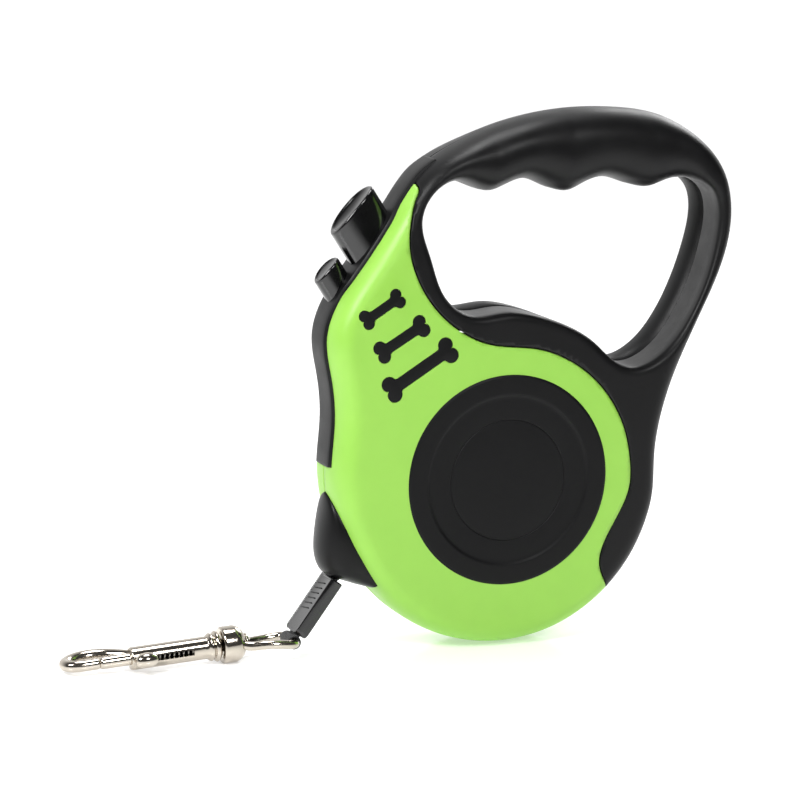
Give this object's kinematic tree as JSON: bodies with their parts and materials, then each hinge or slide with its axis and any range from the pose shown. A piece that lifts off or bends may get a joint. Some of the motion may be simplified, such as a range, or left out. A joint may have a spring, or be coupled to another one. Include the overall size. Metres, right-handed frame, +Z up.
{
  "type": "retractable dog leash",
  "caption": "Hand-held dog leash with a sprung tape reel in a round housing, loop handle, brake and lock buttons, tape nozzle and swivel bolt snap.",
  "frame": {"origin": "middle of the underside of the object's box, on the surface it stands on, in the parting plane of the two shells", "axes": "+X from the hook to the back of the handle, +Y through the thickness to the screw side, +Z up to the handle"},
  "size_m": [0.2157, 0.0288, 0.1651],
  "materials": {
    "green_shell": "satin moulded ABS, lime green",
    "black_grip": "satin thermoplastic rubber overmould, black",
    "black_disc": "fine matte moulded ABS, black",
    "gloss_button": "glossy moulded plastic, black",
    "inner_plastic": "natural moulded acetal",
    "tape": "flat woven nylon tape, black",
    "spring_steel": "bright spring steel",
    "steel": "zinc plated steel",
    "nickel": "bright nickel plated zinc alloy"
  },
  "bodies": {
    "housing": {"shell_front": "green_shell", "shell_back": "green_shell", "grip_front": "black_grip", "grip_back": "black_grip", "edge_strip_front": "black_grip", "edge_strip_back": "black_grip", "side_disc_front": "black_disc", "side_disc_back": "black_disc", "bone_inlay_front_small": "black_disc", "bone_inlay_front_middle": "black_disc", "bone_inlay_front_large": "black_disc", "bone_inlay_back_small": "black_disc", "bone_inlay_back_middle": "black_disc", "bone_inlay_back_large": "black_disc", "tape_nozzle": "black_disc", "guide_pin": "steel", "spring_arbor": "steel", "washer_front": "inner_plastic", "washer_back": "inner_plastic", "housing_screws": "steel", "pawl_pin": "steel", "tape_run": "tape"},
    "reel": {"reel_drum": "inner_plastic", "reel_cover": "inner_plastic", "reel_cover_screws": "steel", "tape_roll": "tape", "power_spring": "spring_steel"},
    "brake": {"brake_button": "gloss_button", "brake_spring": "spring_steel"},
    "lock": {"lock_button": "gloss_button", "lock_spring": "spring_steel"},
    "pawl": {"brake_pawl": "inner_plastic"},
    "tape_end": {"tape_loop": "tape", "tape_lead": "tape"},
    "stopper": {"tape_stopper": "gloss_button"},
    "eye": {"swivel_eye": "nickel"},
    "hook": {"hook_body": "nickel"},
    "bolt": {"hook_bolt": "nickel", "bolt_knob": "nickel", "bolt_spring": "spring_steel"}
  },
  "joints": [
    {"name": "tape_pull", "type": "slide", "parent": "housing", "child": "tape_end", "axis": [-1, 0, 0], "range_m": [0, 2.8], "stiffness_N_per_m": 1, "springref_m": -4, "deforming": ["tape_lead"]},
    {"name": "reel_spin", "type": "hinge", "parent": "housing", "child": "reel", "pos_m": [0.03011, 0, 0.0525], "axis": [0, 1, 0], "range_deg": [-5200, 0], "deforming": ["power_spring"]},
    {"name": "stopper_tilt", "type": "hinge", "parent": "tape_end", "child": "stopper", "pos_m": [-0.03579, 0, 0.0049], "axis": [0, 1, 0], "range_deg": [0, 52]},
    {"name": "eye_pivot", "type": "hinge", "parent": "tape_end", "child": "eye", "pos_m": [-0.03579, 0, 0.0049], "axis": [0, 1, 0], "range_deg": [-50, 80]},
    {"name": "hook_swivel", "type": "hinge", "parent": "eye", "child": "hook", "pos_m": [-0.05589, 0, 0.0054], "axis": [-0.9986, 0, -0.0523], "continuous": true},
    {"name": "bolt_slide", "type": "slide", "parent": "hook", "child": "bolt", "axis": [0.9986, 0, 0.0523], "range_m": [0, 0.0095], "stiffness_N_per_m": 300, "springref_m": -0.008, "deforming": ["bolt_spring"]},
    {"name": "brake_press", "type": "slide", "parent": "housing", "child": "brake", "axis": [-0.5299, 0, 0.848], "range_m": [-0.004, 0], "stiffness_N_per_m": 800, "springref_m": 0.005, "deforming": ["brake_spring"]},
    {"name": "pawl_swing", "type": "hinge", "parent": "housing", "child": "pawl", "pos_m": [-0.00839, 0, 0.0845], "axis": [0, 1, 0], "range_deg": [0, 11.1]},
    {"name": "lock_press", "type": "slide", "parent": "housing", "child": "lock", "axis": [-0.5299, 0, 0.848], "range_m": [-0.003, 0], "stiffness_N_per_m": 500, "springref_m": 0.004, "deforming": ["lock_spring"]}
  ],
  "couplings": [
    {"joint": "reel_spin", "follows": "tape_pull", "rad_per_m": -31.85},
    {"joint": "stopper_tilt", "follows": "tape_pull", "rad_per_m": 0.32},
    {"joint": "pawl_swing", "follows": "brake_press", "rad_per_m": -48}
  ]
}
